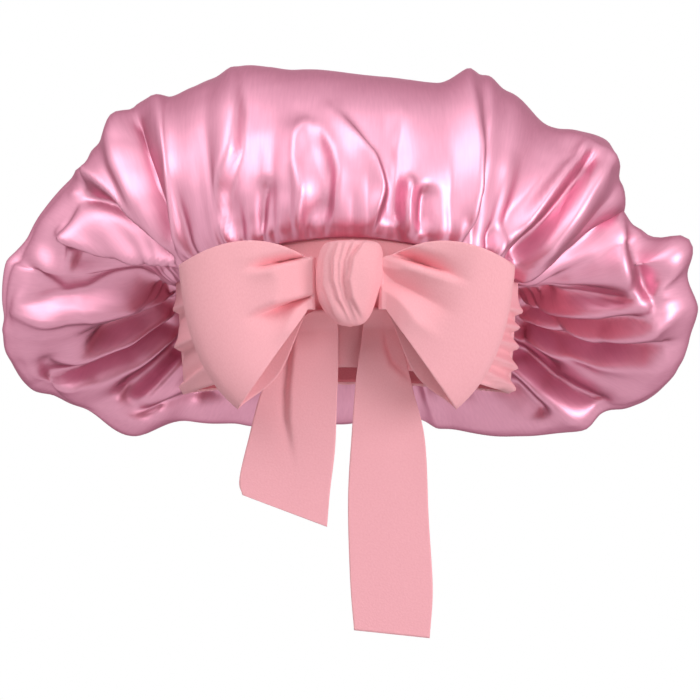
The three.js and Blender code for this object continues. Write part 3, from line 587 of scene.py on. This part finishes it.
# Woven elastic: white ribs of covered rubber, chalky, with threads 0.4 mm wide along them.
elastic_weave, tree, shader = new_material("ribbed_elastic", "#f4efec", 0.9)
weave(tree, shader, "#e2dbd8", "#ffffff", 250, 2500, 0.2)
elastic.data.materials.append(elastic_weave)
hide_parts("band_elastic")
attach(elastic, "bonnet")
# Sewing thread: spun polyester a shade darker than the satin, with a soft sheen over its twist of 0.4 mm.
sewing_thread, tree, shader = new_material("polyester_sewing_thread", "#cf8299", 0.6)
weave(tree, shader, "#c47389", "#da93a8", 2500, 2500, 0.05)
for side, start in (("right", SIDE_SEAM + TACK_GAP), ("left", 2 * np.pi - SIDE_SEAM - TACK_TURN - TACK_GAP)):
    tack_points = in_casing(np.linspace(start, start + TACK_TURN, TACK_COLUMNS), TACK_STITCHES, TACK_ROWS)
    tack = cloth_mesh("bar_tack_%s" % side, tack_points, False, None, ELASTIC_WALL)
    tack.data.materials.append(sewing_thread)
    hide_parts("elastic_tack_%s" % side)
    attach(tack, "bonnet")


# The crown's gathers hang on a two-ply thread of spun polyester, stitched along the band's upper edge. It
# is a tube whose section has two lobes that turn as it goes round the head.
THREAD_RADIUS, PLY_DEPTH, HALF_TWISTS = 0.4, 0.12, 180
THREAD_COLUMNS, THREAD_ROWS = 720, 12
thread_turn = np.linspace(0, 2 * np.pi, THREAD_COLUMNS, endpoint=False)
thread_side = np.linspace(0, 2 * np.pi, THREAD_ROWS, endpoint=False)[:, None]
ply = THREAD_RADIUS * (1 - PLY_DEPTH + PLY_DEPTH * np.cos(2 * thread_side - HALF_TWISTS * thread_turn))
thread_points = on_ring(thread_turn, -CREPE_THICKNESS / 2 - ply * np.cos(thread_side),
                        band_top(thread_turn) + LAYER_GAP + THREAD_RADIUS + ply * np.sin(thread_side))
thread = cloth_mesh("gathering_thread", thread_points[::-1], True, closed_down=True)
thread.data.materials.append(sewing_thread)
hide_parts("crown_gathering_thread")
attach(thread, "bonnet")


# A cotton twill tape covers the raw seam of crown and band on the inside, so that it doesn't rub. It is
# laid flat over the facings all round and stitched along both edges.
TAPE_WIDTH, TAPE_THICKNESS = 10, 0.6
TAPE_COLUMNS, TAPE_ROWS = 240, 9
TAPE_OUT = BACK_FACING_OUT - CREPE_THICKNESS - LAYER_GAP
tape_turns = np.linspace(0, 2 * np.pi, TAPE_COLUMNS, endpoint=False)
tape_low = band_top(tape_turns) - TAPE_WIDTH / 2
tape_high = band_top(tape_turns) + TAPE_WIDTH / 2
tape_points = band_strip(tape_turns, tape_low, tape_high, TAPE_OUT, TAPE_ROWS)
tape = cloth_mesh("seam_tape", tape_points, True, None, TAPE_THICKNESS)
# Twill tape: cotton, matt, with its warp threads, 0.5 mm apart, running along it.
tape_weave, tree, shader = new_material("twill_tape", "#d993a6", 0.8)
weave(tree, shader, "#cc8297", "#e6a5b6", 300, 2000, 0.15)
tape.data.materials.append(tape_weave)
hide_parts("crown_seam_binding")
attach(tape, "bonnet")


# The crepe ties first cross flat against the band, behind the knot, which holds them there. The crossing is
# a flat ball of cloth with slanting pleats: 1 less a share of 1 + cos of the way across and up.
CROSSING_SIZE, CROSSING_PLACE = np.array([20, 4.3, 17]), np.array([0, -101.6, 44.15])
CROSSING_FLAT, CROSSING_POLE, POLE_ANGLE = 0.9, 0.92, 0.03
CROSSING_PLEATS, CROSSING_PLEAT_DEPTH, CROSSING_SLANT = 9, 0.05, 0.6
CROSSING_COLUMNS, CROSSING_ROWS = 96, 60
around = np.linspace(0, 2 * np.pi, CROSSING_COLUMNS, endpoint=False)
height = -np.cos(np.linspace(POLE_ANGLE, np.pi - POLE_ANGLE, CROSSING_ROWS))[:, None]
girth = np.sqrt(1 - height ** 2)
ball = np.stack(np.broadcast_arrays(girth * np.cos(around), girth * np.sin(around), height), -1)
slanted = ball[..., :1] + CROSSING_SLANT * ball[..., 2:]
pleat = 1 - CROSSING_PLEAT_DEPTH * (1 + np.cos(CROSSING_PLEATS * slanted))
crossing_pole = np.array([0, 0, CROSSING_SIZE[2] * CROSSING_POLE])
crossing_points = CROSSING_PLACE + CROSSING_SIZE * ball * (1, CROSSING_FLAT, 1) * pleat
crossing = cloth_mesh("crepe_crossing", crossing_points, True, CROSSING_PLACE + crossing_pole,
                      foot=CROSSING_PLACE - crossing_pole)
crossing.data.materials.append(crepe)
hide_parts("tie_crossing")
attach(crossing, "bonnet")


# The knot of the bow is the crepe tie wrapped once round its own crossing and pulled tight. It is egg
# shaped, an outline turned about an upright axis, with the edges of its wraps as slanting steps.
KNOT_PLACE, KNOT_DEPTH = np.array([0, -120.7, 46.15]), 0.84
KNOT_COLUMNS, KNOT_ROWS = 200, 120
# Its outline from the front, as (half width, height, how far its middle is off to the right).
KNOT_PROFILE = [(1.5, 24.4, 1.5), (5, 24.9, 1.5), (8.3, 26.8, 1.4), (11.8, 31, 0.8), (14.6, 37, 0.2),
                (16.4, 43.5, 0.5), (17.2, 51, 1), (16.9, 58, 1.6), (15.7, 63.2, 2.2), (13.2, 66.6, 2.5),
                (8, 67.9, 2.6), (1.5, 68.1, 2.6)]
# Its wraps, in the same form as the band's ruffles. They are drawn from the top down, so fold_lift takes
# their two sides the other way round.
KNOT_LINES = (
    (1.6, -2.0, 1.0, (330, 236), (321, 258), (320, 285), (332, 316), (342, 332)),
    (1.6, -2.6, 1.2, (338, 236), (331, 258), (331, 280), (337, 300), (352, 328)),
    (1.3, -1.8, 0.8, (345, 236), (338, 262), (338, 282), (344, 302), (356, 328)),
    (1.6, -2.6, 1.2, (354, 236), (345, 260), (344, 280), (349, 304), (359, 328)),
    (2.0, -3.4, 1.6, (368, 234), (352, 258), (348, 279), (351, 298), (366, 326)),
    (3.0, 0.0, -1.2, (388, 240), (380, 262), (376, 290), (366, 318)),
)
WRAP_SINK, WRAP_DEEPEST, WRAP_HIGHEST = 0.5, -3.5, 1.2


def between(p, f):
    """Catmull-Rom: the cubic from the second to the third of four marks, with slopes from all four."""
    return 0.5 * (2 * p[1] + (p[2] - p[0]) * f + (2 * p[0] - 5 * p[1] + 4 * p[2] - p[3]) * f ** 2
                  + (3 * p[1] - p[0] - 3 * p[2] + p[3]) * f ** 3)


def smooth_line(marks, count):
    """An open Catmull-Rom curve through marks, at count places, with its ends carried straight on."""
    marks = np.array(marks, float)
    marks = np.vstack([2 * marks[0] - marks[1], marks, 2 * marks[-1] - marks[-2]])
    s = np.linspace(0, len(marks) - 3, count)
    k = np.minimum(s.astype(int), len(marks) - 4)
    return between([marks[k + d] for d in range(4)], (s - k)[:, None])


around = np.linspace(0, 2 * np.pi, KNOT_COLUMNS, endpoint=False)
half, level, middle = smooth_line(KNOT_PROFILE, KNOT_ROWS).T[..., None]
knot_back = KNOT_PLACE[1] + KNOT_DEPTH * half * np.sin(around)
knot_points = np.stack(np.broadcast_arrays(middle + half * np.cos(around), knot_back, level), -1)
knot_normal = outward(knot_points)
knot_seen = picture_place(knot_points)
knot_lift = np.zeros(knot_points.shape[:2])
for reach, left, right, *line in KNOT_LINES:
    knot_lift += fold_lift(knot_seen, reach, right, left, line)
knot_lift *= np.clip(-knot_normal[..., 1], 0, 1)
knot_lift = np.clip(knot_lift - WRAP_SINK, WRAP_DEEPEST, WRAP_HIGHEST)
knot_points = knot_points + knot_normal * knot_lift[..., None]
knot_foot, knot_tip = [np.array([KNOT_PROFILE[k][2], KNOT_PLACE[1], KNOT_PROFILE[k][1]]) for k in (0, -1)]
knot = cloth_mesh("crepe_knot", knot_points, True, knot_tip, foot=knot_foot)
knot.data.materials.append(crepe)
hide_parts("bow_knot")
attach(knot, "bonnet")


# Each loop of the bow is a ring of the crepe tie, pinched beside the knot, fanning out to its fold, and
# open below. The knot's pull gathers it, so its creases start there and open towards the fold.
LOOP_HINGE, LOOP_ROLL, LOOP_HALF_DEPTH = 19.8, 3.2, 11
LOOP_INNER, LOOP_ARCH = 13, 10
LOOP_FOLD = np.array([(34, -62), (60, -41), (63, 9)])
# The back sheet, as (share of the way to the fold, share of the half depth), and its roll at the pinch.
LOOP_SECTION, ROLL_CORNER = ((0.35, 0.72), (0.7, 1), (0.94, 0.66)), 0.71
# The back sheet's lower edge is drawn in and hangs down by these.
LOOP_BACK_IN, LOOP_BACK_DOWN = 6, 4
LOOP_ACROSS, LOOP_ALONG = 61, 160
# The creases of each loop, in the same form as the band's ruffles.
LOOP_LINES = {
    -1: ((6, 3, -9, (320, 257), (290, 263), (262, 269), (240, 272)),
         (7, 4, 4, (314, 250), (285, 252), (255, 257), (225, 262)),
         (8, -8, 3, (314, 292), (290, 299), (264, 309), (240, 318)),
         (6, 5, 5, (316, 296), (302, 310), (286, 330), (270, 352))),
    1: ((7, -9, 3, (380, 255), (413, 264), (446, 275), (474, 286)),
        (7, 4, 4, (386, 250), (412, 246), (440, 252), (466, 262)),
        (10, -6, -6, (382, 276), (410, 289), (440, 306), (462, 320)),
        (9, 4, 4, (380, 296), (413, 319), (452, 348))),
}
# Creases are deepened, kept off the back sheet and the knot, and pressed flat at the pinch.
DENT_GAIN, DENT_FADE, DENT_HIGHEST, DENT_DEEPEST = 1.8, 0.8, 5, 13
DENT_START, DENT_RANGE, SHEET_GAP, FRONT_DEPTH = 5, 14, 2, 5
PINCH_PRESS, PINCH_REACH = 2.5, 6


def smooth_ring(marks, count):
    """A closed Catmull-Rom curve through marks (first index), at count places, for many curves at once."""
    s = np.arange(count) * len(marks) / count
    k = s.astype(int)
    f = (s - k).reshape(-1, *[1] * (marks.ndim - 1))
    return between([marks[(k + d) % len(marks)] for d in (-1, 0, 1, 2)], f)


def loop_points(side):
    """The ribbon of a loop. For each place across the tie, from its lower to its upper edge, a closed curve
    goes from the pinch out along the back sheet to the fold and home along the front. The fold is a
    quadratic curve from its lower to its upper end, and both sheets arch up between pinch and fold."""
    across = np.linspace(0, 1, LOOP_ACROSS)
    inner = np.stack([np.full(LOOP_ACROSS, LOOP_HINGE), -LOOP_INNER + 2 * LOOP_INNER * across], -1)
    a, b, c = LOOP_FOLD + (LOOP_HINGE, 0)
    w = across[:, None]
    fold = a * (1 - w) ** 2 + 2 * b * w * (1 - w) + c * w ** 2
    toward = fold - inner
    reach = np.linalg.norm(toward, axis=-1)
    toward /= reach[:, None]
    roll, half = LOOP_ROLL, LOOP_HALF_DEPTH
    back_sheet = [(-ROLL_CORNER * roll, ROLL_CORNER * roll), (0, roll)]
    back_sheet += [(way * reach, deep * half) for way, deep in LOOP_SECTION]
    marks = [(-roll, 0)] + back_sheet + [(reach, 0)] + [(d, -y) for d, y in reversed(back_sheet)]
    marks = np.array([np.stack(np.broadcast_arrays(d, y, across)[:2], -1) for d, y in marks], float)
    path = smooth_ring(marks, LOOP_ALONG)
    d, y = path[..., 0], path[..., 1]
    share = np.maximum(d, 0) / reach
    arch = 4 * LOOP_ARCH * share * (1 - share) * across ** 2
    x = inner[:, 0] + np.where(d > 0, toward[:, 0], 1) * d
    z = inner[:, 1] + np.where(d > 0, toward[:, 1], 0) * d + arch
    behind = np.clip(y / half, 0, 1) * (1 - across) ** 2 * np.sin(np.pi * np.clip(share, 0, 1))
    return np.stack([side * (x - LOOP_BACK_IN * behind), y + KNOT_PLACE[1],
                     z + KNOT_PLACE[2] - LOOP_BACK_DOWN * behind], -1)


for side, body in ((-1, "left"), (1, "right")):
    ring = loop_points(side)
    ring_seen = picture_place(ring)
    dent = np.zeros(ring.shape[:2])
    for reach, left, right, *line in LOOP_LINES[side]:
        dent += fold_lift(ring_seen, reach, left, right, line, DENT_FADE)
    before = KNOT_PLACE[1] - ring[..., 1]
    from_hinge = np.abs(ring[..., 0]) - LOOP_HINGE
    front = np.clip(before / FRONT_DEPTH, 0, 1)
    clear = np.clip((from_hinge - DENT_START) / DENT_RANGE, 0, 1)
    room = np.clip(2 * before - SHEET_GAP, 0, DENT_DEEPEST)
    pressed = PINCH_PRESS * np.clip(1 - from_hinge / PINCH_REACH, 0, 1)
    ring[..., 1] -= (np.clip(DENT_GAIN * dent, -room, DENT_HIGHEST * clear) - pressed) * front
    ring = np.swapaxes(ring, 0, 1)
    if side < 0:
        ring = ring[::-1]
    loop = cloth_mesh("crepe_%s_loop" % body, ring, True, None, CREPE_THICKNESS)
    loop.data.materials.append(crepe)
    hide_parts("bow_%s_loop" % body)
    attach(loop, "%s_loop" % body)


# The tails are the ends of the crepe tie, cut on the slant, each hung from a narrow neck under the
# crossing. They hang almost flat, with one soft fold each that starts below the knot.
NECK_RISE, NECK_LEAN, NECK_POWER = 12, 7, 1.5
NECK_TURNS = np.radians((25, 40, 55, 70, 80))
TAIL_ROWS, TAIL_COLUMNS = 120, 49
TAIL_FOLD_REACH, TAIL_FOLD_FADE, TAIL_FOLD_START, TAIL_FOLD_RANGE = 8, 0.5, 4, 16
# Each as (place of its neck, left and right end of the neck, left edge, right edge, fold). Edges are (x, z)
# from the neck, and a fold is (rise on the left, rise on the right, points on the picture).
TAILS = {
    "left": (np.array([-9.5, -101.6, 22.26]), -16, 5,
             [(-21.5, -9), (-33, -29), (-40, -54), (-44.5, -74), (-43, -82)],
             [(5, -20), (4.5, -34), (3.5, -59), (1, -80), (-0.5, -98)],
             (0.8, -3.2, (294, 326), (294, 338), (291, 360), (288, 392), (288, 419), (292, 445), (298, 475))),
    "right": (np.array([13, -101.6, 23.44]), -5, 13,
              [(-8.5, -25), (-10.5, -50), (-12.5, -85), (-11.5, -125), (-9.5, -151)],
              [(19.5, -28), (26, -55), (28, -95), (30, -130), (28.5, -155)],
              (-3.0, 0.8, (382, 311), (384, 345), (390, 363), (404, 376), (422, 390))),
}
neck_top = np.stack([np.sin(NECK_TURNS), NECK_RISE * np.cos(NECK_TURNS)], -1)
w = np.linspace(0, 1, TAIL_COLUMNS)[:, None]
for body, (neck, neck_left, neck_right, left_edge, right_edge, fold) in TAILS.items():
    left_hang = smooth_line([(neck_left, 0)] + left_edge, TAIL_ROWS)
    right_hang = smooth_line([(neck_right, 0)] + right_edge, TAIL_ROWS)
    left_side = np.vstack([neck_top * (neck_left, 1), left_hang])
    right_side = np.vstack([neck_top * (neck_right, 1), right_hang])
    flat = left_side[:, None] * (1 - w) + right_side[:, None] * w
    tail_points = np.stack([flat[..., 0], np.zeros(flat.shape[:2]), flat[..., 1]], -1) + neck
    tail_points[..., 1] -= NECK_LEAN * np.clip(flat[..., 1] / NECK_RISE, 0, 1) ** NECK_POWER
    left, right, *line = fold
    lift = fold_lift(picture_place(tail_points), TAIL_FOLD_REACH, left, right, line, TAIL_FOLD_FADE)
    tail_points[..., 1] -= np.clip((TAIL_FOLD_START - flat[..., 1]) / TAIL_FOLD_RANGE, 0, 1) * lift
    tail = cloth_mesh("crepe_%s_tail" % body, tail_points[::-1], False, None, CREPE_THICKNESS, False)
    tail.data.materials.append(crepe)
    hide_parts("bow_%s_tail" % body)
    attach(tail, "%s_tail" % body)


# A matt painted floor lies well below, in a white room. Both look white and show white in reflections, but
# they light the cloth only a little, and the floor keeps the bonnet's shadow. Sizes are in metres.
FLOOR_HALF, FLOOR_LEVEL, FLOOR_GLOW = 5, -0.6, 0.9
ROOM_GLOW, ROOM_LIGHT = 1.0, 0.07


def seen_rays(tree):
    """1 for rays from the camera, from a reflection or through clear matter, and 0 for light on its way to
    a surface: the sum of the three, clamped."""
    path = add_node(tree, "ShaderNodeLightPath")
    rays = add_node(tree, "ShaderNodeMath", {0: path.outputs["Is Camera Ray"],
                                             1: path.outputs["Is Glossy Ray"]})
    rays = add_node(tree, "ShaderNodeMath", {0: rays.outputs[0], 1: path.outputs["Is Transmission Ray"]},
                    use_clamp=True)
    return rays.outputs[0]


floor_corners = [(x * FLOOR_HALF, y * FLOOR_HALF, FLOOR_LEVEL)
                 for x, y in ((-1, -1), (1, -1), (1, 1), (-1, 1))]
floor_mesh = bpy.data.meshes.new("floor")
floor_mesh.from_pydata(floor_corners, [], [(0, 1, 2, 3)])
floor = bpy.data.objects.new("floor", floor_mesh)
bpy.context.collection.objects.link(floor)
# Matt white paint has no highlights. Rays that see it find a grey under its glow, so shadows still show.
floor_paint, tree, shader = new_material("matt_white_paint", "#f2f2f2", 0.9, Emission_Color=(1, 1, 1, 1))
rays = seen_rays(tree)
glow = add_node(tree, "ShaderNodeMath", {0: rays, 1: FLOOR_GLOW}, operation="MULTIPLY")
paint = add_node(tree, "ShaderNodeMix", {0: rays, 6: linear("#f2f2f2"), 7: linear("#5a5a5a")},
                 data_type="RGBA")
tree.links.new(glow.outputs[0], shader.inputs["Emission Strength"])
tree.links.new(paint.outputs[2], shader.inputs["Base Color"])
floor.data.materials.append(floor_paint)
world = bpy.data.worlds.new("studio")
world.use_nodes = True
bpy.context.scene.world = world
tree = world.node_tree
tree.nodes.clear()
dim = add_node(tree, "ShaderNodeBackground", {"Color": (1, 1, 1, 1), "Strength": ROOM_LIGHT})
white = add_node(tree, "ShaderNodeBackground", {"Color": (1, 1, 1, 1), "Strength": ROOM_GLOW})
mix = add_node(tree, "ShaderNodeMixShader", {0: seen_rays(tree), 1: dim.outputs[0], 2: white.outputs[0]})
add_node(tree, "ShaderNodeOutputWorld", {"Surface": mix.outputs[0]})


# Plain soft studio light: a large soft box in front and above, lesser ones at the left and over the top,
# and one low at the right that opens the shadows under the crown. Places are in metres, as the camera's is.
BONNET_MIDDLE, BONNET_LOW = (0, 0, 0.06), (0, 0, 0.03)


def soft_box(name, place, aim, width, height, watts):
    """A flat rectangular lamp that faces a point."""
    data = bpy.data.lights.new(name, "AREA")
    data.shape = "RECTANGLE"
    data.size, data.size_y = width, height
    data.energy = watts
    lamp = bpy.data.objects.new(name, data)
    lamp.location = place
    lamp.rotation_euler = (Vector(place) - Vector(aim)).to_track_quat("Z", "Y").to_euler()
    bpy.context.collection.objects.link(lamp)


soft_box("key", (-0.7, -1.4, 1.65), BONNET_MIDDLE, 2.2, 1.5, 26)
soft_box("left", (-1.7, -0.7, 1.4), BONNET_MIDDLE, 1.2, 1.4, 9)
soft_box("top", (0.4, -0.9, 2.0), BONNET_MIDDLE, 1.6, 1.0, 5)
soft_box("side", (1.8, -1.4, 0.35), BONNET_LOW, 1.0, 1.3, 30)
